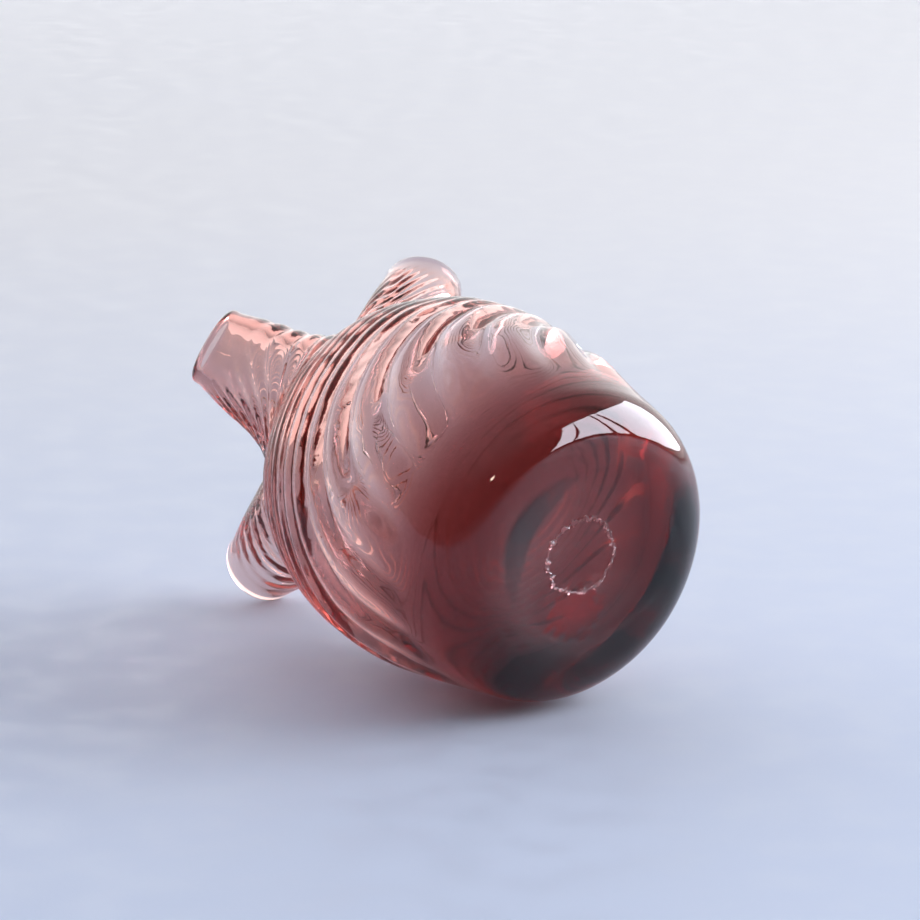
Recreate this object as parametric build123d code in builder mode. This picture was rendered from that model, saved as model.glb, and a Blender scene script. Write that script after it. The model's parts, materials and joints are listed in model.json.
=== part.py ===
from build123d import *
from collections import namedtuple
from math import cos, pi, radians, sin, sqrt
import os

# A hand-blown glass bud vase with three necks, lying on its side. It rests on the flank of its
# bulb, just above the heel, and on the lip of its lowest neck. All the glass was joined while it
# was hot, so the pieces meet face to face and nothing moves. Sizes are in millimetres.

# The bulb: radii across its axis, and heights along the axis from the plane it stands on.
side_radius = 41.4
heel_rounding = 12.5
heel_lean = 11.0
belly_radius = 48.0
belly_height = 52.0
shoulder_radius = 38.5
crown_height = 107.0
crown_rise = 19.0
shoulder_height = crown_height - crown_rise
wall = 3.0

# The blown cavity stands a little off the axis, so the glass is thickest along the lower side.
# That weight keeps the vase from rolling off its lowest neck.
cavity_shift = 0.9
thin_side = 30.0

# The thick base, its hollowed underside and the standing ring round that hollow.
base_thickness = 14.0
cavity_corner = 16.0
standing_ring_width = 1.9
hollow_radius = side_radius - heel_rounding - standing_ring_width
hollow_depth = 3.0
hollow_slope = 0.25

# The broken disc of glass that the punty left in the middle of the underside.
scar_radius = 11.0
scar_rim = 3.0
scar_depth = 1.6
scar_dish = 0.6

# The necks start on the axis, just inside the cavity's crown, spread out from it and curl up
# a little towards it again.
neck_root_sink = 0.5
neck_root_height = crown_height - wall - neck_root_sink
neck_wall = 3.2
neck_root_radius = 19.5
neck_middle_radius = 15.4
neck_throat_radius = 13.2
neck_lip_radius = 11.0
neck_middle = 0.5
neck_throat = 0.82
lip_length = 3.0
lip_flat = 0.13
lip_rounding = (neck_wall - lip_flat) / 2
bore_overrun = 2.0

# How finely the bulb's outline is measured to find what touches the floor, and how closely and
# within what slope the lean of the axis is found, in degrees.
ring_steps = 200
steepest_lean = 45.0
lean_tolerance = 1e-7

# Each neck was pulled by hand, so each has its own direction round the axis, counted from the
# upper side, its own length, and its own angles from the axis at its root and at its lip.
Neck = namedtuple("Neck", "azimuth length root_splay lip_splay")
necks = {
    "neck_front": Neck(-58.0, 42.0, 62.0, 43.0),
    "neck_back": Neck(61.0, 59.5, 63.5, 44.5),
    "neck_lower": Neck(180.0, 66.0, 62.0, 43.0),
}
resting_neck = necks["neck_lower"]


def neck_point(neck, share):
    """Where a neck's centreline is after a share of its length: out from the axis, and along it."""
    splay = radians(neck.root_splay)
    turn = radians(neck.lip_splay - neck.root_splay)
    out = neck.length / turn * (cos(splay) - cos(splay + turn * share))
    along = neck.length / turn * (sin(splay + turn * share) - sin(splay))
    return out, neck_root_height + along


def bulb_outline(plane, inset, floor, corner):
    """Half the bulb's outline, set in from the outer skin, with a flat floor and a round corner."""
    side = side_radius - inset
    shoulder_inset = inset * sin(pi / 4)
    with BuildSketch(plane) as outline:
        with BuildLine():
            bottom = Line((0, floor), (side - corner, floor))
            heel = CenterArc((side - corner, floor + corner), corner, -90, 90 - heel_lean)
            flank = Spline(
                heel @ 1,
                (belly_radius - inset, belly_height),
                (shoulder_radius - shoulder_inset, shoulder_height - shoulder_inset),
                (0, crown_height - inset),
                tangents=(heel % 1, (-1, 0)),
            )
            Line(flank @ 1, bottom @ 0)
        make_face()
    return outline.sketch


def bulb_rings():
    """Rings round the bulb's outer skin: the middle and direction of each, and its radius."""
    skin = bulb_outline(Plane.XY, 0, 0, heel_rounding).edges()
    points = [edge @ (step / ring_steps) for edge in skin for step in range(ring_steps)]
    return [(Vector(0, 0, point.Y), Vector(0, 0, 1), point.X) for point in points]


def lip_ring(neck):
    """The ring that the middle of a lip's rounding follows: its middle, direction and radius."""
    splay = radians(neck.lip_splay)
    past = lip_length - lip_rounding
    out, along = neck_point(neck, 1)
    middle = Vector(out + past * sin(splay), 0, along + past * cos(splay))
    facing = Vector(sin(splay), 0, cos(splay))
    turn = neck.azimuth
    return middle.rotate(Axis.Z, turn), facing.rotate(Axis.Z, turn), neck_lip_radius - lip_rounding


def reach(rings, frame, direction):
    """How far rings in the vase's frame reach in a direction."""
    reaches = []
    for middle, facing, radius in rings:
        ahead = frame.from_local_coords(middle).dot(direction)
        slant = (frame.from_local_coords(facing) - frame.origin).dot(direction)
        reaches.append(ahead + radius * sqrt(1 - slant**2))
    return max(reaches)


def lying_frame(lean, origin=(0, 0, 0)):
    """The vase's own frame: z along its axis from base to necks, and x towards its upper side."""
    upper_side = (sin(radians(lean)), 0, cos(radians(lean)))
    return Plane(origin, x_dir=upper_side, z_dir=(-cos(radians(lean)), 0, sin(radians(lean))))


def resting_lean(bulb_shape, lip_shape):
    """How far the axis leans up from the floor when the bulb and the resting neck's lip touch it.

    It is found by halving: while the lip would be the lower of the two, the axis leans up more.
    """
    low, high = 0, steepest_lean
    while high - low > lean_tolerance:
        lean = (low + high) / 2
        frame = lying_frame(lean)
        lip_drop = reach(lip_shape, frame, Vector(0, 0, -1)) + lip_rounding
        if lip_drop > reach(bulb_shape, frame, Vector(0, 0, -1)):
            low = lean
        else:
            high = lean
    return low


# The origin is on the floor, under the middle of the vase's outer box.
bulb_shape = bulb_rings()
lip_shapes = [lip_ring(neck) for neck in necks.values()]
lean = resting_lean(bulb_shape, [lip_ring(resting_neck)])
ends = {}
for name, direction in {"X": (1, 0, 0), "Y": (0, 1, 0), "Z": (0, 0, 1)}.items():
    for sign in (1, -1):
        way = Vector(*direction) * sign
        bulb_reach = reach(bulb_shape, lying_frame(lean), way)
        lip_reach = reach(lip_shapes, lying_frame(lean), way) + lip_rounding
        ends[name, sign] = max(bulb_reach, lip_reach)
vase = lying_frame(
    lean,
    ((ends["X", -1] - ends["X", 1]) / 2, (ends["Y", -1] - ends["Y", 1]) / 2, ends["Z", -1]),
)
vase_axis = Axis(vase.origin, vase.z_dir)


def half_plane(azimuth):
    """The plane through the axis on one side: x runs out from the axis and y runs along it."""
    out = vase.x_dir.rotate(Axis((0, 0, 0), vase.z_dir), azimuth)
    return Plane(origin=vase.origin, x_dir=out, z_dir=out.cross(vase.z_dir))


section = half_plane(0)
thin_section = half_plane(thin_side)
cavity_middle = vase.origin + thin_section.x_dir * cavity_shift
cavity_section = Plane(cavity_middle, x_dir=thin_section.x_dir, z_dir=thin_section.z_dir)


def neck_tube(neck, inset, overrun):
    """A neck's solid, set in from its outer skin, with a straight lip run on by the overrun."""
    plane = half_plane(neck.azimuth)
    with BuildLine(plane) as centreline:
        ThreePointArc(neck_point(neck, 0), neck_point(neck, 0.5), neck_point(neck, 1))
    path = centreline.edge()
    radii = (
        (0, neck_root_radius),
        (neck_middle, neck_middle_radius),
        (neck_throat, neck_throat_radius),
        (1, neck_lip_radius),
    )
    with BuildPart() as tube:
        for share, radius in radii:
            with BuildSketch(Plane(path @ share, x_dir=plane.z_dir, z_dir=path % share)):
                Circle(radius - inset)
        loft()
        with BuildSketch(Plane(path @ 1, x_dir=plane.z_dir, z_dir=path % 1)):
            Circle(neck_lip_radius - inset)
        extrude(amount=lip_length + overrun)
    return tube


# The whole bulb as one solid, and its inside, kept to cut the pieces from.
with BuildPart() as bulb:
    revolve(bulb_outline(section, 0, 0, heel_rounding), vase_axis)

with BuildPart() as cavity:
    revolve(
        bulb_outline(cavity_section, wall, base_thickness, cavity_corner),
        Axis(cavity_middle, vase.z_dir),
    )

bores = [neck_tube(neck, neck_wall, bore_overrun).part for neck in necks.values()]

# The base: the solid bottom of the bulb, hollowed underneath so that it stands on a ring.
with BuildPart() as base:
    add(bulb.part)
    split(bisect_by=vase.offset(base_thickness), keep=Keep.BOTTOM)
    with BuildSketch(section):
        with BuildLine():
            chord = Line((0, 0), (hollow_radius, 0))
            vault = Spline(
                (hollow_radius, 0), (0, hollow_depth), tangents=((-1, hollow_slope), (-1, 0))
            )
            Line(vault @ 1, chord @ 0)
        make_face()
    revolve(axis=vase_axis, mode=Mode.SUBTRACT)
base.part.label = "base"

# The pontil scar: a rough disc with a raised rim, up in the hollow and clear of the floor.
with BuildPart() as pontil_scar:
    with BuildSketch(section):
        with BuildLine():
            Polyline(
                (0, hollow_depth),
                (0, hollow_depth - scar_depth + scar_dish),
                (scar_radius - scar_rim, hollow_depth - scar_depth + scar_dish),
                (scar_radius - scar_rim / 2, hollow_depth - scar_depth),
                (scar_radius, hollow_depth - scar_depth + scar_dish),
                (scar_radius, hollow_depth),
                close=True,
            )
        make_face()
    revolve(axis=vase_axis)
    add(base.part, mode=Mode.SUBTRACT)
pontil_scar.part.label = "pontil_scar"

# The body: the blown wall of the bulb above its base, open at the top into the three necks.
with BuildPart() as body:
    add(bulb.part)
    split(bisect_by=vase.offset(base_thickness), keep=Keep.TOP)
    add(cavity.part, mode=Mode.SUBTRACT)
    add(bores, mode=Mode.SUBTRACT)
body.part.label = "body"


def plane_between(name, other):
    """The plane through the axis midway between two necks, facing the first."""
    azimuth = necks[name].azimuth
    gap = (necks[other].azimuth - azimuth + 180) % 360 - 180
    middle = half_plane(azimuth + gap / 2)
    return middle if gap > 0 else -middle


def make_neck(name):
    """A neck with a rounded lip, fitted to the bulb and to the planes between it and the others."""
    with BuildPart() as neck:
        add(neck_tube(necks[name], 0, 0).part)
        add(neck_tube(necks[name], neck_wall, bore_overrun).part, mode=Mode.SUBTRACT)
        lip = neck.faces().filter_by(GeomType.PLANE).sort_by(vase_axis)[-1]
        fillet(lip.edges(), lip_rounding)
        add(bulb.part, mode=Mode.SUBTRACT)
        add(bores, mode=Mode.SUBTRACT)
        for other in necks:
            if other != name:
                split(bisect_by=plane_between(name, other), keep=Keep.TOP)
    neck.part.label = name
    return neck


glass = [base, pontil_scar, body] + [make_neck(name) for name in necks]

os.makedirs("parts", exist_ok=True)
for piece in glass:
    export_step(piece.part, f"parts/{piece.part.label}.step")
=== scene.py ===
"""A hand-blown glass bud vase with three necks, lying on its side on a pale sweep.

The glass is one closed skin. All its shapes are worked out in millimetres in the vase's own frame,
with z along its axis from base to necks and x towards its upper side, and then laid down as the
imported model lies.
"""

import json
import math

import bpy
import numpy as np
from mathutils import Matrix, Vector


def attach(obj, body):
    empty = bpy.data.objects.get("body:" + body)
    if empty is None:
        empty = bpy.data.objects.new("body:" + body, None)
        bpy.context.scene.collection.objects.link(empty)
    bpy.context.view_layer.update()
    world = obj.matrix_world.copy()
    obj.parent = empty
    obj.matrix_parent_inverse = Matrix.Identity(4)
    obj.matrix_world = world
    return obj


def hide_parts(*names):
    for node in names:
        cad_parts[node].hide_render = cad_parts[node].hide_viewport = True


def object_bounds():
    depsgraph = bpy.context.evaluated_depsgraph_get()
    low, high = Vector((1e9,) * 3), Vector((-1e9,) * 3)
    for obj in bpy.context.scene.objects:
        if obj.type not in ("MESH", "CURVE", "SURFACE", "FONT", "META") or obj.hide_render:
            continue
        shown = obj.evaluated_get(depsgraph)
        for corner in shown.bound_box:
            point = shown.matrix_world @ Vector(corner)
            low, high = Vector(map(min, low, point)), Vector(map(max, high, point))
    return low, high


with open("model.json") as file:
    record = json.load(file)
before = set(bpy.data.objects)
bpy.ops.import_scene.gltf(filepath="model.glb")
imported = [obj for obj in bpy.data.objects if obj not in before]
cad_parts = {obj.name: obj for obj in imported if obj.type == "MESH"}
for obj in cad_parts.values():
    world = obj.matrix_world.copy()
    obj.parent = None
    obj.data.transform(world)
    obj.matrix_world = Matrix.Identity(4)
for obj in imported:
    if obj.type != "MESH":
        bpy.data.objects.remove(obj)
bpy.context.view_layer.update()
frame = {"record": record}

MM = 0.001

# The bulb: the same sizes as the solids under it, in millimetres.
HEEL_ROUNDING, HEEL_LEAN, SIDE_RADIUS = 12.5, 11.0, 41.4
BELLY, SHOULDER, CROWN = (48.0, 52.0), (38.5, 88.0), (0.0, 107.0)
HOLLOW_RADIUS, HOLLOW_DEPTH = 27.0, 3.0
WALL, BASE_THICKNESS, CAVITY_CORNER = 3.0, 14.0, 16.0
CAVITY_SHIFT, THIN_SIDE = 0.9, 30.0

# The necks: direction round the axis, length, and angles from the axis at the root and the lip.
NECKS = {
    "neck_front": (-58.0, 42.0, 62.0, 43.0),
    "neck_back": (61.0, 59.5, 63.5, 44.5),
    "neck_lower": (180.0, 66.0, 62.0, 43.0),
}
NECK_ROOT_HEIGHT = 103.5
NECK_SHARES = (0.0, 0.5, 0.82, 1.0)
NECK_RADII = (19.5, 15.4, 13.2, 11.0)
LIP_STRAIGHT = 1.4

# Where the necks grow out of the shoulder, and how high the saddle between them stands.
ROOT_HEIGHT, SADDLE_HEIGHT = 91.0, 122.5

# The moulded ribs: eighteen round the bulb, six of them into each neck.
RIBS = 18
RIB_PITCH = 5.2
SHOULDER_RIB, BELLY_RIB, INNER_SHARE = 0.45, 0.95, -0.55
RIB_SPAN, RIB_SINK, GROOVE_ROUNDING = 2.4, 2.15, 0.1

# Columns of the mesh: round one neck's share of the shoulder, and along one saddle line.
ARC_COLUMNS, SADDLE_COLUMNS = 76, 38

rng = np.random.default_rng(7)


# ---------------------------------------------------------------- curves and grids


def smooth(x, low, high):
    """0 below low, 1 above high, and 3t^2 - 2t^3 between them."""
    t = np.clip((x - low) / (high - low), 0, 1)
    return t * t * (3 - 2 * t)


def spline(knots, points, start=None, end=None):
    """A cubic spline through points at knots, with given or free end slopes. Returns f(t)."""
    knots, points = np.asarray(knots, float), np.asarray(points, float)
    points = points.reshape(len(knots), -1)
    n, h = len(knots), np.diff(knots)
    rise = np.diff(points, axis=0) / h[:, None]
    lhs, rhs = np.zeros((n, n)), np.zeros_like(points)
    inner = np.arange(1, n - 1)
    lhs[inner, inner - 1], lhs[inner, inner + 1] = h[1:], h[:-1]
    lhs[inner, inner] = 2 * (h[1:] + h[:-1])
    rhs[inner] = 3 * (h[1:, None] * rise[:-1] + h[:-1, None] * rise[1:])
    lhs[0, :2], rhs[0] = ((1, 0), start) if start is not None else ((2, 1), 3 * rise[0])
    lhs[-1, -2:], rhs[-1] = ((0, 1), end) if end is not None else ((1, 2), 3 * rise[-1])
    slope = np.linalg.solve(lhs, rhs)

    def value(t):
        t = np.asarray(t, float)
        k = np.clip(np.searchsorted(knots, t) - 1, 0, n - 2)
        w = h[k]
        s = ((t - knots[k]) / w)[..., None]
        w = w[..., None]
        a, b = points[k], points[k + 1]
        ma, mb = slope[k] * w, slope[k + 1] * w
        return (
            a * (1 + 2 * s) * (1 - s) ** 2 + ma * s * (1 - s) ** 2
            + b * s * s * (3 - 2 * s) - mb * s * s * (1 - s)
        )

    return value


def lengths(path):
    """Distance along a path, point by point, from its start."""
    return np.concatenate([[0], np.cumsum(np.linalg.norm(np.diff(path, axis=0), axis=1))])


def unit(v):
    return v / np.maximum(np.linalg.norm(v, axis=-1, keepdims=True), 1e-12)


def arc(centre, radius, start, stop, steps):
    """Points on a circle's arc, between two angles in degrees."""
    a = np.radians(np.linspace(start, stop, steps))
    return np.stack([centre[0] + radius * np.cos(a), centre[1] + radius * np.sin(a)], -1)


def evenly(path, steps):
    """A path measured again at even steps of its length."""
    s = lengths(path)
    t = np.linspace(0, s[-1], steps)
    return np.stack([np.interp(t, s, path[:, i]) for i in range(path.shape[1])], -1)


def spun(profile, azimuths):
    """A profile of (radius, height) carried round the axis: one row a point, one column an angle."""
    a = np.radians(azimuths)
    r, h = profile[:, :1], profile[:, 1:]
    return np.stack([r * np.cos(a), r * np.sin(a), h * np.ones_like(a)], -1)


# ---------------------------------------------------------------- the bulb's outline

heel_top = arc((SIDE_RADIUS - HEEL_ROUNDING, HEEL_ROUNDING), HEEL_ROUNDING, -90, -HEEL_LEAN, 24)
lean = math.radians(HEEL_LEAN)
flank_points = np.array([heel_top[-1], BELLY, SHOULDER, CROWN])
flank = spline(
    lengths(flank_points), flank_points, start=(math.sin(lean), math.cos(lean)), end=(-1, 0)
)
flank_path = flank(np.linspace(0, lengths(flank_points)[-1], 1200))
flank_path = flank_path[: np.searchsorted(flank_path[:, 1], ROOT_HEIGHT) + 1]

# Underside, from the middle out: the hollow's vault, the standing ring, the heel, the flank.
vault_r = np.concatenate([np.linspace(0, 13, 26), np.linspace(13, HOLLOW_RADIUS, 14)[1:]])
vault_h = HOLLOW_DEPTH * (1 - (vault_r / HOLLOW_RADIUS) ** 2) ** 1.5
vault = np.stack([vault_r, vault_h], -1)
ring = np.array([[HOLLOW_RADIUS + 0.9, 0.0]])
outer_profile = np.concatenate([vault, ring, heel_top, evenly(flank_path, 112)[1:]])
FIRST_FLANK = len(vault) + len(ring) + len(heel_top) - 1

# ---------------------------------------------------------------- columns round the axis

azimuth = {n: NECKS[n][0] % 360 for n in NECKS}
order = sorted(NECKS, key=lambda n: azimuth[n])
between = {}
for name, after in zip(order, order[1:] + order[:1]):
    gap = (azimuth[after] - azimuth[name]) % 360
    between[name, "right"] = azimuth[name] + gap / 2
    between[after, "left"] = azimuth[name] + gap / 2 - (360 if after == order[0] else 0)
columns = np.concatenate(
    [
        np.linspace(between[n, "left"], between[n, "right"], ARC_COLUMNS, endpoint=False)
        for n in order
    ]
    + [[between[order[-1], "right"]]]
)


def twist(height):
    """How far a rib has turned round the axis at a height, in degrees: the sum of its turn rate,
    which rises from 0.4 to 5 degrees a millimetre over the belly."""
    return 0.4 * height + 4.6 * 7 * np.log1p(np.exp((height - 56) / 7))


def rib_count_at(azimuths):
    """Ribs passed by each column: six for each neck's share of the circle."""
    return np.arange(len(azimuths)) * (RIBS / 3 / ARC_COLUMNS)


def rib(phase):
    """A rib's section, from -1.4 in the groove up to 0.25 on the crown: a |cos|, rounded where it
    meets zero."""
    crown = np.sqrt(np.cos(np.pi * phase) ** 2 + GROOVE_ROUNDING) / math.sqrt(1 + GROOVE_ROUNDING)
    return RIB_SPAN * crown - RIB_SINK


# ---------------------------------------------------------------- the outer skin, without its ribs

outer_body = spun(outer_profile, columns)
body_phase = rib_count_at(columns)[None, :] - (twist(outer_profile[:, 1]) * RIBS / 360)[:, None]
rib_height = BELLY_RIB + (SHOULDER_RIB - BELLY_RIB) * smooth(outer_profile[:, 1], 46, 68)
body_swell = (rib_height * smooth(outer_profile[:, 1], 13, 36))[:, None] * np.ones_like(body_phase)
body_swell[:FIRST_FLANK] = 0
root_phase_loss = twist(outer_profile[-1, 1]) * RIBS / 360


def neck_rings(name, shares):
    """Rings round a neck's centreline arc, which is as long as the neck and turns from one splay
    to the other. Each ring starts on its outer side and goes round towards growing azimuth."""
    turn_to, length, root, lip = NECKS[name]
    a, b = math.radians(root), math.radians(lip - root)
    out_dir = np.array([math.cos(math.radians(turn_to)), math.sin(math.radians(turn_to)), 0])
    side_dir = np.array([-out_dir[1], out_dir[0], 0])
    up = np.array([0, 0, 1.0])
    s = np.clip(shares, 0, 1)[:, None]
    past = np.maximum(shares - 1, 0)[:, None] * length
    out = length / b * (math.cos(a) - np.cos(a + b * s)) + past * math.sin(a + b)
    along = NECK_ROOT_HEIGHT + length / b * (np.sin(a + b * s) - math.sin(a)) + past * math.cos(a + b)
    splay = a + b * s
    centre = out * out_dir + along * up
    inward = -np.cos(splay) * out_dir + np.sin(splay) * up
    forward = np.sin(splay) * out_dir + np.cos(splay) * up
    radius = spline(NECK_SHARES, NECK_RADII)(s[:, 0])
    psi = ring_angles[None, :, None]
    ring = centre[:, None] + radius[:, None] * (
        -np.cos(psi) * inward[:, None] + np.sin(psi) * side_dir
    )
    return ring, forward


corner = math.radians(92)
ring_angles = np.concatenate(
    [
        np.linspace(-corner, corner, ARC_COLUMNS, endpoint=False),
        np.linspace(corner, math.pi, SADDLE_COLUMNS, endpoint=False),
        np.linspace(math.pi, 2 * math.pi - corner, SADDLE_COLUMNS + 1),
    ]
)


def saddle_line(at, root_point, root_slope):
    """The line up between two necks, in the half plane at an azimuth: a Bezier curve that leaves
    the shoulder along its outline and comes level at the axis. Returns points and normals."""
    p0 = np.array(root_point)
    p1 = p0 + 15 * np.array(root_slope)
    p2, p3 = np.array([16.0, SADDLE_HEIGHT]), np.array([0.0, SADDLE_HEIGHT])
    t = np.linspace(0, 1, 400)[:, None]
    path = p0 * (1 - t) ** 3 + 3 * p1 * t * (1 - t) ** 2 + 3 * p2 * t * t * (1 - t) + p3 * t**3
    path = evenly(path, SADDLE_COLUMNS + 1)
    path[0], path[-1] = p0, p3
    along = unit(np.gradient(path, axis=0))
    along[0], along[-1] = root_slope, (-1, 0)
    a = math.radians(at)
    e, up = np.array([math.cos(a), math.sin(a), 0]), np.array([0, 0, 1.0])
    points = path[:, :1] * e + path[:, 1:] * up
    normals = along[:, 1:] * e - along[:, :1] * up
    return points, normals, lengths(path)


NECK_ROWS, SWEEP_ROWS = 34, 26
BLEND_SHARE = {"neck_front": 0.68, "neck_back": 0.6, "neck_lower": 0.56}


def neck_skin(name):
    """A neck's outer skin. Each column leaves the loop of shoulder arc and saddle lines at right
    angles, runs by a Hermite curve to the neck's first full ring, and then along its rings."""
    profile_end = outer_profile[-1]
    slope = unit(np.diff(outer_profile[-3:], axis=0)[-1])
    arc_azimuths = np.linspace(
        between[name, "left"], between[name, "right"], ARC_COLUMNS, endpoint=False
    )
    a = np.radians(arc_azimuths)[:, None]
    e = np.concatenate([np.cos(a), np.sin(a), 0 * a], 1)
    arc_points = profile_end[0] * e + np.array([0, 0, profile_end[1]])
    arc_normals = slope[1] * e - slope[0] * np.array([0, 0, 1.0])
    right, right_n, run = saddle_line(between[name, "right"], profile_end, slope)
    left, left_n, _ = saddle_line(between[name, "left"], profile_end, slope)
    loop = np.concatenate([arc_points, right[:-1], left[::-1]])
    normal = np.concatenate([arc_normals, right_n[:-1], left_n[::-1]])
    # The way into the neck: across the loop, evened out round its corners, in the skin's plane.
    ahead = np.roll(loop[:-1], -1, 0) - np.roll(loop[:-1], 1, 0)
    into = unit(np.cross(normal[:-1], ahead))
    for _ in range(60):
        into = (np.roll(into, 1, 0) + 2 * into + np.roll(into, -1, 0)) / 4
    into = np.concatenate([into, into[:1]])
    into = unit(into - normal * (into * normal).sum(1, keepdims=True))
    start = BLEND_SHARE[name]
    rings, _ = neck_rings(name, np.array([start, start + 0.004]))
    goal, goal_dir = rings[0], unit(rings[1] - rings[0])
    span = np.linalg.norm(goal - loop, axis=1, keepdims=True)
    t = np.linspace(0, 1, NECK_ROWS)[:, None, None]
    blend = (
        loop * (1 + 2 * t) * (1 - t) ** 2 + span * 1.05 * into * t * (1 - t) ** 2
        + goal * t * t * (3 - 2 * t) - span * 1.05 * goal_dir * t * t * (1 - t)
    )
    end_share = 1 + LIP_STRAIGHT / NECKS[name][1]
    sweep, forward = neck_rings(name, np.linspace(start, end_share, SWEEP_ROWS)[1:])
    skin = np.concatenate([blend, sweep])
    # Ribs: the shoulder's own count round the arc, running on up the saddle and up the neck.
    first = order.index(name) * RIBS / 3
    count = np.concatenate(
        [
            first + np.arange(ARC_COLUMNS) * RIBS / 3 / ARC_COLUMNS,
            first + RIBS / 3 - run[:-1] / RIB_PITCH,
            first - run[::-1] / RIB_PITCH,
        ]
    )
    climb = np.cumsum(
        np.concatenate([[0 * span[:, 0]], np.linalg.norm(np.diff(skin, axis=0), axis=2)]), axis=0
    )
    on_saddle = np.concatenate(
        [np.zeros(ARC_COLUMNS), smooth(run[:-1], 0, 9), smooth(run[::-1], 0, 9)]
    )
    round_off = 4.0 * on_saddle
    climb = np.sqrt(climb**2 + round_off**2) - round_off
    phase = count[None, :] - root_phase_loss - climb / RIB_PITCH
    row_share = np.concatenate(
        [np.linspace(0, start, NECK_ROWS), np.linspace(start, end_share, SWEEP_ROWS)[1:]]
    )
    swell = SHOULDER_RIB * (1 - smooth(row_share, 0.62, 0.98))[:, None] * np.ones_like(phase)
    swell *= 1 - 0.75 * on_saddle[None, :] * (1 - smooth(row_share, 0, 0.3))[:, None]
    return skin, phase, swell, forward[-1]


# ---------------------------------------------------------------- welding grids into one skin


def faces_of(rows, cols, base, flip):
    """The four corners of each cell of a grid whose first vertex has a given number."""
    i = base + np.arange(rows * cols).reshape(rows, cols)
    q = np.stack([i[:-1, :-1], i[:-1, 1:], i[1:, 1:], i[1:, :-1]], -1).reshape(-1, 4)
    return q[:, ::-1] if flip else q


def weld(grids, flips):
    """Grids joined where their points coincide. Returns points, quads and each point's number."""
    points = np.concatenate([g.reshape(-1, 3) for g in grids])
    starts = np.cumsum([0] + [g.shape[0] * g.shape[1] for g in grids[:-1]])
    quads = np.concatenate(
        [faces_of(g.shape[0], g.shape[1], s, f) for g, s, f in zip(grids, starts, flips)]
    )
    _, first, number = np.unique(
        np.round(points * 2000).astype(np.int64), axis=0, return_index=True, return_inverse=True
    )
    number = number.reshape(-1)
    return points[first], number[quads], number


def skin_normals(points, quads):
    """Each point's normal: the sum of its faces' normals, by area."""
    p = points[quads]
    n = np.cross(p[:, 2] - p[:, 0], p[:, 3] - p[:, 1])
    total = np.zeros_like(points)
    for k in range(4):
        np.add.at(total, quads[:, k], n)
    return unit(total)


def relaxed(points, quads, weight, rounds):
    """Points moved part of the way to the middle of their neighbours, by a weight each."""
    a = np.concatenate([quads, np.roll(quads, -1, 1)])
    b = np.concatenate([np.roll(quads, -1, 1), quads])
    a, b = a.reshape(-1), b.reshape(-1)
    keep = a != b
    a, b = a[keep], b[keep]
    many = np.zeros(len(points))
    np.add.at(many, a, 1)
    for _ in range(rounds):
        total = np.zeros_like(points)
        np.add.at(total, a, points[b])
        points = points + weight[:, None] * (total / many[:, None] - points)
    return points


def split_back(values, number, grids):
    """Values of welded points, given back to the grids that they came from."""
    values, out, at = values[number], [], 0
    for g in grids:
        n = g.shape[0] * g.shape[1]
        out.append(values[at : at + n].reshape(g.shape[0], g.shape[1], -1))
        at += n
    return out


necks = {name: neck_skin(name) for name in order}
outer = [outer_body] + [necks[n][0] for n in order]
phases = [body_phase] + [necks[n][1] for n in order]
swells = [body_swell] + [necks[n][2] for n in order]
points, quads, number = weld(outer, [False] * 4)

# The shoulder, the saddles and the neck roots are evened out, as fire does to soft glass.
height, reach = points[:, 2], np.hypot(points[:, 0], points[:, 1])
soft = 0.5 * smooth(height, 86, 94) * (1 - smooth(np.hypot(reach, 1.3 * (height - 104)), 30, 44))
points = relaxed(points, quads, soft, 24)
normals = skin_normals(points, quads)
outer = split_back(points, number, outer)
outward = split_back(normals, number, outer)

# ---------------------------------------------------------------- the ribs on the outer skin


def wobble(points, size, seed):
    """Slow unevenness of hand-blown glass: a sum of sines over space, in millimetres."""
    r = np.random.default_rng(seed)
    total = np.zeros(points.shape[:-1])
    for _ in range(9):
        way = r.normal(size=3)
        way /= np.linalg.norm(way) * r.uniform(14, 38)
        total += np.sin(2 * math.pi * (points @ way) + r.uniform(0, 6.28))
    return size * total / 3


def dressed(skin, normal, phase, swell, depth, seed):
    """A skin with its ribs: each point moved along its normal by the rib's section, and a little
    by the glass's unevenness."""
    uneven = wobble(skin, 0.14, seed) + wobble(skin * 2.6, 0.035, seed + 1)
    shift = depth * swell * rib(phase) + uneven * np.minimum(1, 2 * swell + 0.15)
    return skin + normal * shift[..., None]


def seamed(grids, number):
    """Grids whose welded points, moved apart by a hair, are brought back to their middle."""
    flat = np.concatenate([g.reshape(-1, 3) for g in grids])
    total, many = np.zeros((number.max() + 1, 3)), np.zeros(number.max() + 1)
    np.add.at(total, number, flat)
    np.add.at(many, number, 1)
    return split_back(total / many[:, None], number, grids)


OUTER_SEED, INNER_SEED = 3, 11
out_parts = zip(outer, outward, phases, swells)
ribbed = seamed([dressed(g, n, p, w, 1, OUTER_SEED) for g, n, p, w in out_parts], number)

# ---------------------------------------------------------------- the inner skin and the lips

# The inner skin follows the outer one from part way up the flank, on every third row.
INNER_FROM, INNER_STEP = FIRST_FLANK + 46, 3
NECK_THICKENING = 0.2


def every(first, last):
    """Every third row number from first to last, with the last one always among them."""
    return np.append(np.arange(first, last, INNER_STEP), last)


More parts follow.
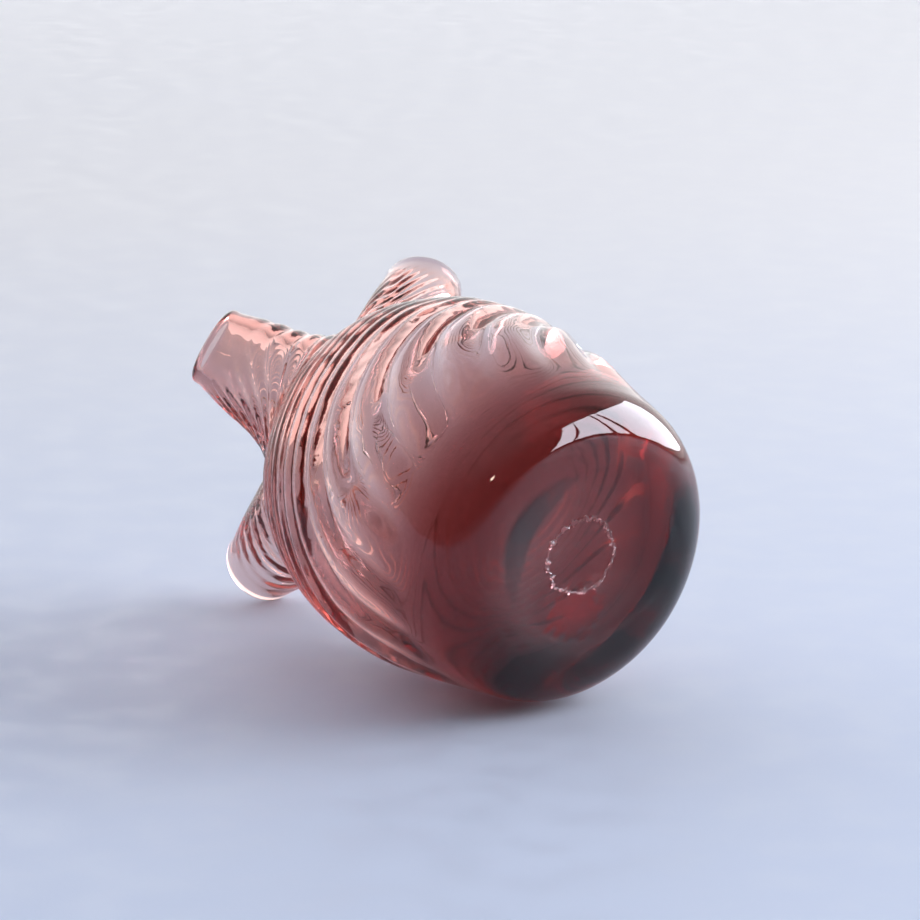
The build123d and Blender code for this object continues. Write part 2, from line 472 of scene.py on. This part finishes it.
body_rows = every(INNER_FROM, outer[0].shape[0] - 1)
flank_in = outer[0][body_rows] - WALL * outward[0][body_rows]
side = SIDE_RADIUS - WALL
floor_run = np.stack([np.linspace(0, side - CAVITY_CORNER, 9), np.full(9, BASE_THICKNESS)], -1)
bend = arc((side - CAVITY_CORNER, BASE_THICKNESS + CAVITY_CORNER), CAVITY_CORNER, -90, -HEEL_LEAN, 14)
join = np.array([np.hypot(*flank_in[0, 0, :2]), flank_in[0, 0, 2]])
after = np.array([np.hypot(*flank_in[1, 0, :2]), flank_in[1, 0, 2]])
gap = np.linalg.norm(join - bend[-1])
low_side = spline(
    [0, gap], [bend[-1], join], start=(math.sin(lean), math.cos(lean)), end=unit(after - join)
)
cavity_profile = np.concatenate([floor_run[:-1], bend, low_side(np.linspace(0, gap, 11))[1:-1]])
cavity = spun(cavity_profile, columns)
inner = [np.concatenate([cavity, flank_in])]
in_normal = [np.concatenate([np.zeros_like(cavity), outward[0][body_rows]])]
in_phase = [np.concatenate([np.zeros(cavity.shape[:2]), body_phase[body_rows]])]
in_swell = [np.concatenate([np.zeros(cavity.shape[:2]), body_swell[body_rows]])]
for k in range(1, len(outer)):
    rows = every(0, outer[k].shape[0] - 1)
    inset = WALL + NECK_THICKENING * np.linspace(0, 1, len(rows))[:, None, None]
    inner.append(outer[k][rows] - inset * outward[k][rows])
    in_normal.append(outward[k][rows])
    in_phase.append(phases[k][rows])
    in_swell.append(swells[k][rows])

# The cavity stands off the axis by its shift, which dies out towards the necks.
thin = math.radians(THIN_SIDE)
shift_way = CAVITY_SHIFT * np.array([math.cos(thin), math.sin(thin), 0])
inner = [g + (1 - smooth(g[..., 2:], 84, 106)) * shift_way for g in inner]
_, _, in_number = weld(inner, [True] * 4)
in_parts = zip(inner, in_normal, in_phase, in_swell)
inner = seamed([dressed(g, n, p, w, INNER_SHARE, INNER_SEED) for g, n, p, w in in_parts], in_number)

# Each lip is a half circle from the outer skin's last ring over to the inner skin's.
LIP_ROWS = 9
lips = []
for k, name in enumerate(order, start=1):
    out_edge, in_edge = ribbed[k][-1], inner[k][-1]
    turn = np.linspace(0, math.pi, LIP_ROWS)[:, None, None]
    half, middle = (out_edge - in_edge) / 2, (out_edge + in_edge) / 2
    thick = np.linalg.norm(half, axis=1, keepdims=True)
    lips.append(middle + half * np.cos(turn) + thick * necks[name][3] * np.sin(turn))

# ---------------------------------------------------------------- placing meshes in the frame

mount = next(m for m in frame["record"]["mounts"] if m["name"] == "standing_ring")
A = -unit(np.array(mount["axis"], float))
U = unit(np.array([0, 0, 1.0]) - A[2] * A)
V = np.cross(A, U)
STANDING_RING = SIDE_RADIUS - HEEL_ROUNDING - 0.95
ORIGIN = np.array(mount["pos_m"], float) / MM - STANDING_RING * U


def placed(points):
    """Points of the vase's own frame, in millimetres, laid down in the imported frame, in metres."""
    return (ORIGIN + points @ np.stack([U, V, A])) * MM


def corners_of(quads):
    """Whole quads, and triangles where two corners of a quad are one point."""
    same = quads == np.roll(quads, -1, 1)
    once = same.sum(1) == 1
    return quads[~same.any(1)], quads[once][~same[once]].reshape(-1, 3)


def swept_volume(points, quads):
    """Volume inside a closed skin, positive when its faces look outward."""
    p = points[quads]
    return (np.cross(p[:, 0], p[:, 1]) * p[:, 2]).sum() / 6 + (
        np.cross(p[:, 0], p[:, 2]) * p[:, 3]
    ).sum() / 6


def add_mesh(name, points, quads, tris=None):
    """A smooth-shaded mesh object of quads, and of triangles where it has them."""
    whole, tips = corners_of(quads)
    if tris is not None:
        tips = np.concatenate([tips, tris])
    mesh = bpy.data.meshes.new(name)
    mesh.from_pydata(placed(points).tolist(), [], whole.tolist() + tips.tolist())
    mesh.validate()
    mesh.polygons.foreach_set("use_smooth", np.ones(len(mesh.polygons), bool))
    obj = bpy.data.objects.new(name, mesh)
    bpy.context.scene.collection.objects.link(obj)
    return obj


def ball():
    """A unit sphere of 32 triangles: an octahedron with each edge halved and pushed out."""
    p = np.array([[1, 0, 0], [-1, 0, 0], [0, 1, 0], [0, -1, 0], [0, 0, 1], [0, 0, -1]], float)
    f = [[0, 2, 4], [2, 1, 4], [1, 3, 4], [3, 0, 4], [2, 0, 5], [1, 2, 5], [3, 1, 5], [0, 3, 5]]
    a, b, c = p[np.array(f)].transpose(1, 0, 2)
    ab, bc, ca = unit(a + b), unit(b + c), unit(c + a)
    cells = np.stack([a, ab, ca, ab, b, bc, ca, bc, c, ab, bc, ca], 1).reshape(-1, 3)
    _, first, back = np.unique(
        np.round(cells * 1e6).astype(int), axis=0, return_index=True, return_inverse=True
    )
    return cells[first], back.reshape(-1, 3)


# How many air bubbles the wall holds.
SEEDS = 80

# The red smear's middle and its half sizes, across the hollow.
SMEAR = (-15.0, -1.0, 6.5, 8.5)

# The painted shade mark's middle and half length in degrees round the axis, its radius and its half
# width.
PAINTED_SHADE_CRESCENT = (-62.0, 54.0, 21.8, 5.0)


def seeds():
    """Air bubbles caught in the wall, drawn out along it: small closed skins that face inward."""
    p, f = ball()
    rows = rng.integers(0, body_rows.size - 1, SEEDS)
    cols = rng.integers(0, columns.size - 1, SEEDS)
    share = rng.uniform(0.4, 0.6, SEEDS)[:, None]
    outside, inside = ribbed[0][body_rows[rows], cols], inner[0][len(cavity) + rows, cols]
    centre = outside * share + inside * (1 - share)
    normal = outward[0][body_rows[rows], cols]
    along = unit(np.cross(normal, unit(rng.normal(size=(SEEDS, 3)))))
    size = 0.16 + 0.36 * rng.random(SEEDS) ** 2.5
    stretch = rng.uniform(0, 0.9, SEEDS)
    points = centre[:, None] + size[:, None, None] * (
        p + stretch[:, None, None] * (along @ p.T)[:, :, None] * along[:, None]
    )
    faces = f[None, :, ::-1] + len(p) * np.arange(SEEDS)[:, None, None]
    return points.reshape(-1, 3), faces.reshape(-1, 3)


def glass_skin():
    """Everything blown and hot-joined, as one closed skin."""
    grids = ribbed + inner + lips
    flips = [False] * 4 + [True] * 4 + [False] * 3
    points, quads, _ = weld(grids, flips)
    if swept_volume(points, quads) < 0:
        quads = quads[:, ::-1]
    bubble_points, bubble_faces = seeds()
    points = np.concatenate([points, bubble_points])
    obj = add_mesh("blown_glass", points, quads, bubble_faces + len(points) - len(bubble_points))
    # The base's own gather of glass is deeper in colour, and fades out up the wall.
    x, y, z = points.T
    marks = {"base_gather": 1 - smooth(z, 12, 36)}
    # The cavity's floor is a little hazy, as it was never polished.
    in_cavity = (np.hypot(x, y) < SIDE_RADIUS - 0.6 * WALL) & (z > 8)
    marks["haze"] = in_cavity * (1 - smooth(z, 17, 34))
    # A ragged smear of red under the scar, on the hollow's lower side.
    in_hollow = z < HOLLOW_DEPTH + 0.5
    ragged = 0.35 * np.sin(1.9 * x + 1.3 * np.sin(1.1 * y)) + 0.3 * np.sin(1.3 * y - 0.9 * x + 2)
    off = np.hypot((x - SMEAR[0]) / SMEAR[2], (y - SMEAR[1]) / SMEAR[3]) + 0.4 * ragged
    marks["smear"] = (1 - smooth(off, 0.8, 1.15)) * in_hollow
    # Painted shade: a dark crescent painted along the hollow's edge, widest at its middle and drawn
    # out to points.
    reach, turn = np.hypot(x, y), np.degrees(np.arctan2(y, x))
    along = np.clip(1 - ((turn - PAINTED_SHADE_CRESCENT[0]) / PAINTED_SHADE_CRESCENT[1]) ** 2, 0, 1)
    away = (reach - PAINTED_SHADE_CRESCENT[2] + 0.35 * np.sin(0.12 * turn)) / (PAINTED_SHADE_CRESCENT[3] * along + 0.01)
    marks["painted_shade_crescent"] = along**0.5 * (1 - smooth(np.abs(away), 0.7, 1.1)) * in_hollow
    for mark, amount in marks.items():
        obj.data.attributes.new(mark, "FLOAT", "POINT").data.foreach_set("value", amount)
    return obj


def scar_ring():
    """The rough ring where the punty broke off, standing on the hollow's vault: a closed ring whose
    radius, width and height wander round it, each by its own sum of sines."""
    r = np.random.default_rng(21)
    turn = np.linspace(0, 2 * math.pi, 221)
    wave = sum(
        r.uniform(0.2, 1) / k**0.5 * np.sin(k * turn + r.uniform(0, 6.28)) for k in range(2, 44)
    )
    chips = sum(
        r.uniform(0.2, 1) / k**0.3 * np.sin(k * turn + r.uniform(0, 6.28)) for k in range(9, 70)
    )
    radius = 9.9 + 0.36 * wave
    half = np.clip(0.4 + 0.25 * chips, 0.1, 1.6)
    tall = np.clip(0.16 + 0.2 * np.roll(chips, 17), 0.02, 0.9)
    buried = 0.06
    section = np.linspace(0, 2 * math.pi, 17)[:, None]
    rr = radius + half * np.cos(section) + 0.12 * np.sin(3 * section + 9 * turn)
    floor = HOLLOW_DEPTH * (1 - (rr / HOLLOW_RADIUS) ** 2) ** 1.5 - buried
    ripple = 1 + 0.25 * np.sin(5 * section + 13 * turn)
    hh = floor - tall * np.maximum(np.sin(section), 0) * ripple
    grid = np.stack([rr * np.cos(turn), rr * np.sin(turn), hh], -1)
    grid[:, -1], grid[-1] = grid[:, 0], grid[0]
    points, quads, _ = weld([grid], [False])
    if swept_volume(points, quads) < 0:
        quads = quads[:, ::-1]
    return add_mesh("punty_scar", points, quads)


vase = glass_skin()
scar = scar_ring()

# ---------------------------------------------------------------- materials


class Wire:
    """A shader value. Arithmetic on it adds the maths nodes that work it out."""

    def __init__(self, tree, socket):
        self.tree, self.socket = tree, socket

    def _maths(self, operation, first, second):
        node = self.tree.nodes.new("ShaderNodeMath")
        node.operation = operation
        plug(self.tree, node.inputs[0], first)
        plug(self.tree, node.inputs[1], second)
        return Wire(self.tree, node.outputs[0])

    def __add__(self, other):
        return self._maths("ADD", self, other)

    def __sub__(self, other):
        return self._maths("SUBTRACT", self, other)

    def __rsub__(self, other):
        return self._maths("SUBTRACT", other, self)

    def __mul__(self, other):
        return self._maths("MULTIPLY", self, other)

    __radd__, __rmul__ = __add__, __mul__

    def ramp(self, low, high, start=0.0, end=1.0):
        """Runs smoothly from start to end as the value goes from low to high."""
        return Shader(self.tree).value(
            "ShaderNodeMapRange", {"interpolation_type": "SMOOTHSTEP"},
            Value=self, **{"From Min": low, "From Max": high, "To Min": start, "To Max": end},
        )


def plug(tree, slot, value):
    """Links a wire to a socket, or sets the socket to a plain value."""
    if isinstance(value, Wire):
        tree.links.new(value.socket, slot)
    else:
        slot.default_value = value


class Shader:
    """A node tree, and one way to add any node to it."""

    def __init__(self, tree):
        self.tree = tree

    def node(self, kind, settings=None, **inputs):
        node = self.tree.nodes.new(kind)
        for key, value in (settings or {}).items():
            setattr(node, key, value)
        for key, value in inputs.items():
            plug(self.tree, node.inputs[key], value)
        return node

    def value(self, kind, settings=None, out=0, **inputs):
        return Wire(self.tree, self.node(kind, settings, **inputs).outputs[out])

    def noise(self, at, scale, detail=3.0, rough=0.5):
        return self.value(
            "ShaderNodeTexNoise", Vector=at, Scale=scale, Detail=detail, Roughness=rough
        )

    def mark(self, name):
        """A number that the mesh carries at each point."""
        return self.value("ShaderNodeAttribute", {"attribute_name": name}, out=2)

    def place(self):
        """Where a point is, in its object's own coordinates."""
        return self.value("ShaderNodeTexCoord", out=3)

    def parts(self, vector):
        """The x, y and z of a vector."""
        node = self.node("ShaderNodeSeparateXYZ", Vector=vector)
        return [Wire(self.tree, out) for out in node.outputs]

    def mix(self, share, a, b):
        """Colour a where share is 0 and colour b where it is 1."""
        node = self.tree.nodes.new("ShaderNodeMix")
        node.data_type = "RGBA"
        plug(self.tree, node.inputs[0], share)
        plug(self.tree, node.inputs[6], a)
        plug(self.tree, node.inputs[7], b)
        return Wire(self.tree, node.outputs[2])


def new_material(name):
    material = bpy.data.materials.new(name)
    material.use_nodes = True
    material.node_tree.nodes.clear()
    return material, Shader(material.node_tree)


# How fast the glass takes out red, green and blue light, by the metre, and colours as linear
# red, green, blue and alpha: clear glass, the base's gather, the smear and the painted shade along
# the hollow's edge.
ABSORBED, DENSITY = (54.0, 138.0, 152.0), 200.0
CLEAR, BASE_TINT = (1, 1, 1, 1), (0.46, 0.22, 0.24, 1)
SMEAR_TINT, PAINTED_SHADE_TINT = (1.0, 0.03, 0.02, 1), (0.004, 0.003, 0.004, 1)
FROSTED, FROSTED_DARK = (0.8, 0.5, 0.5, 1), (0.6, 0.25, 0.25, 1)
GLASS_IOR = 1.5


def glass_material(name, polished):
    """Clear brownish-mauve glass, either fire-polished or broken and frosted."""
    material, sh = new_material(name)
    at = sh.place()
    smear = sh.noise(at, 38.0, 5.0, 0.6)
    grain = sh.noise(at, 900.0, 3.0, 0.6)
    if polished:
        marks = ("base_gather", "haze", "smear", "painted_shade_crescent")
        gather, haze, red, painted_shade_crescent = (sh.mark(name) for name in marks)
        tint = sh.mix(gather, CLEAR, BASE_TINT)
        tint = sh.mix(red, tint, SMEAR_TINT)
        # Painted shade: this mark turns the glass's colour near black along the hollow's edge.
        tint = sh.mix(painted_shade_crescent * 0.97, tint, PAINTED_SHADE_TINT)
        roughness = smear.ramp(0.45, 0.75, 0.008, 0.04) + haze * 0.09 + red * 0.06
        height = sh.noise(at, 130.0, 3.0, 0.5) * 0.7 + grain * 0.05
        strength, distance = 0.05, 0.0008
    else:
        tint = sh.mix(smear.ramp(0.4, 0.6), FROSTED, FROSTED_DARK)
        roughness = smear.ramp(0.3, 0.7, 0.1, 0.45)
        height = sh.noise(at, 420.0, 6.0, 0.7) + grain * 0.4
        strength, distance = 0.8, 0.0004
    bump = sh.value("ShaderNodeBump", Height=height, Strength=strength, Distance=distance)
    surface = sh.value(
        "ShaderNodeBsdfPrincipled", IOR=GLASS_IOR, Roughness=roughness, Normal=bump,
        **{"Base Color": tint, "Transmission Weight": 1.0},
    )
    kept = [1 - a / DENSITY for a in ABSORBED]
    body = sh.value("ShaderNodeVolumeAbsorption", Density=DENSITY, Color=(*kept, 1))
    sh.node("ShaderNodeOutputMaterial", Surface=surface, Volume=body)
    return material


vase.data.materials.append(glass_material("Brownish mauve glass", True))
scar.data.materials.append(glass_material("Broken glass", False))

for obj, slot, nodes in (
    (vase, "glass", ("base", "body", "neck_front", "neck_back", "neck_lower")),
    (scar, "rough_glass", ("pontil_scar",)),
):
    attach(obj, "root")
    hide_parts(*nodes)

# ---------------------------------------------------------------- the sweep and the light

VIEW_BACK = Vector((0.802, -0.5565, 0.2158)).normalized()

# The way from the viewer across the table, as the parts of a unit vector along -X and +Y.
AWAY_X, AWAY_Y = 0.82, 0.57
FLOOR_HALF = 4.0
# The floor's edge colour is painted shade: near black before the vase, standing in for the dark room
# on the viewer's side.
# The near and far floor colours paint light and shade across the table: darker and cooler near the
# front, paler far off.
FLOOR_NEAR_PAINTED_SHADE, FLOOR_FAR, FLOOR_PAINTED_SHADE_BEFORE = (0.62, 0.72, 0.94, 1), (0.87, 0.89, 0.95, 1), (0.1, 0.09, 0.09, 1)
# Painted light: the far table top glows with this colour.
FLOOR_PAINTED_GLOW = (0.95, 0.96, 1.0, 1)
WORLD_STRENGTH = 1.75
ROOM_BEFORE, ROOM_BEYOND = (0.06, 0.055, 0.055, 1), (0.98, 0.99, 1.0, 1)
ROOM_ABOVE = (0.24, 0.24, 0.26, 1)


def add_floor():
    """A pale table top just under the lowest rib, with painted light and shade: cooler and darker
    towards the front, painted dark before it, and painted light glowing far off.
    """
    half = FLOOR_HALF
    low = min(0.0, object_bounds()[0][2])
    mesh = bpy.data.meshes.new("table_top")
    edge = [(-half, -half, low), (half, -half, low), (half, half, low), (-half, half, low)]
    mesh.from_pydata(edge, [], [(0, 1, 2, 3)])
    obj = bpy.data.objects.new("table_top", mesh)
    bpy.context.scene.collection.objects.link(obj)
    material, sh = new_material("Pale table top")
    at = sh.place()
    x, y, _ = sh.parts(at)
    beyond, before = y * AWAY_Y - x * AWAY_X, x * AWAY_X - y * AWAY_Y
    # Painted light and shade: the table goes from the darker, cooler near colour to the pale far one.
    far = sh.noise(at, 2.2, 2.0) * 0.12 + beyond.ramp(-0.3, 0.9) - 0.06
    colour = sh.mix(far, FLOOR_NEAR_PAINTED_SHADE, FLOOR_FAR)
    # Painted shade: the floor turns near black before the vase, on the viewer's side.
    colour = sh.mix(before.ramp(0.23, 0.6, 0.0, 0.85), colour, FLOOR_PAINTED_SHADE_BEFORE)
    rough = sh.noise(at, 60.0, 4.0).ramp(0.3, 0.7, 0.55, 0.8)
    grain = sh.noise(at, 1400.0, 2.0)
    bump = sh.value("ShaderNodeBump", Height=grain, Strength=0.1, Distance=0.0002)
    # Painted light: the table top glows more the farther off it is.
    painted_glow = sh.mix(beyond.ramp(0.4, 2.4), (0, 0, 0, 1), FLOOR_PAINTED_GLOW)
    surface = sh.value(
        "ShaderNodeBsdfPrincipled", Roughness=rough, Normal=bump,
        **{"Base Color": colour, "Emission Color": painted_glow, "Emission Strength": 0.22},
    )
    sh.node("ShaderNodeOutputMaterial", Surface=surface)
    mesh.materials.append(material)


add_floor()


def room_light():
    """A soft room: palest behind the vase, dimmer overhead, dark behind the viewer."""
    world = bpy.data.worlds.new("Room")
    world.use_nodes = True
    world.node_tree.nodes.clear()
    bpy.context.scene.world = world
    sh = Shader(world.node_tree)
    way = sh.value("ShaderNodeTexCoord", out=0)
    x, y, z = sh.parts(way)
    level = sh.mix((y * AWAY_Y - x * AWAY_X).ramp(-0.25, 0.75), ROOM_BEFORE, ROOM_BEYOND)
    colour = sh.mix(z.ramp(0.35, 0.95), level, ROOM_ABOVE)
    light = sh.value("ShaderNodeBackground", Color=colour, Strength=WORLD_STRENGTH)
    sh.node("ShaderNodeOutputWorld", Surface=light)


room_light()

# The window stands upright to the right: four panes between glazing bars, by azimuth in degrees.
WINDOW_AZIMUTH, WINDOW_DISTANCE = 60.0, 1.2
PANES = ((20.0, 26.0), (27.0, 39.5), (41.0, 45.0), (47.0, 100.0))
WINDOW_LOW, WINDOW_HIGH, WINDOW_RADIANCE = 0.10, 1.0, 13.0


def add_area_light(name, place, width, height, radiance, colour):
    """A flat light that faces the vase, as bright a metre of it as its radiance says."""
    lamp = bpy.data.lights.new(name, "AREA")
    lamp.shape, lamp.size, lamp.size_y = "RECTANGLE", width, height
    lamp.energy = radiance * math.pi * width * height
    lamp.color = colour
    obj = bpy.data.objects.new(name, lamp)
    obj.location = place
    bpy.context.scene.collection.objects.link(obj)
    obj.visible_camera = False
    return obj


facing = math.radians(WINDOW_AZIMUTH)
for pane_number, (start, stop) in enumerate(PANES, start=1):
    ends = [WINDOW_DISTANCE * math.tan(math.radians(a - WINDOW_AZIMUTH)) for a in (start, stop)]
    middle = (ends[0] + ends[1]) / 2
    place = (
        WINDOW_DISTANCE * math.cos(facing) - middle * math.sin(facing),
        WINDOW_DISTANCE * math.sin(facing) + middle * math.cos(facing),
        (WINDOW_LOW + WINDOW_HIGH) / 2,
    )
    pane = add_area_light(
        f"window_pane_{pane_number}", place, ends[1] - ends[0], WINDOW_HIGH - WINDOW_LOW,
        WINDOW_RADIANCE, (0.86, 0.88, 1.0),
    )
    pane.rotation_euler = (math.radians(90), 0, facing + math.radians(90))
    pane.visible_diffuse = False

# What the window and its surroundings give the table: wide and soft.
DAYLIGHT_AT, DAYLIGHT_WAY = Vector((0.75, 1.35, 0.75)), Vector((0.75, 1.35, 0.6))
daylight = add_area_light("daylight", DAYLIGHT_AT, 1.7, 1.0, 3.6, (1.0, 0.98, 0.98))
daylight.rotation_euler = DAYLIGHT_WAY.to_track_quat("Z", "Y").to_euler()
daylight.visible_glossy = daylight.visible_transmission = False

# A small warm lamp high behind the viewer.
LAMP_WAY, LAMP_DISTANCE = Vector((0.785, -0.453, 0.4226)), 1.6
lamp = add_area_light("room_lamp", LAMP_WAY * LAMP_DISTANCE, 0.09, 0.09, 26.0, (1.0, 0.86, 0.7))
lamp.rotation_euler = LAMP_WAY.to_track_quat("Z", "Y").to_euler()

# ---------------------------------------------------------------- the camera and the picture

eye = bpy.data.cameras.new("camera")
eye.lens, eye.sensor_width = 154.9, 36.0
eye.clip_start, eye.clip_end = 0.05, 30.0
camera = bpy.data.objects.new("camera", eye)
camera.location = (0.83516, -0.56605, 0.27504)
camera.rotation_euler = VIEW_BACK.to_track_quat("Z", "Y").to_euler()
bpy.context.scene.collection.objects.link(camera)
bpy.context.scene.camera = camera

scene = bpy.context.scene
scene.view_settings.view_transform = "Standard"
scene.cycles.max_bounces = 32
scene.cycles.transmission_bounces = 32
scene.cycles.glossy_bounces = 12
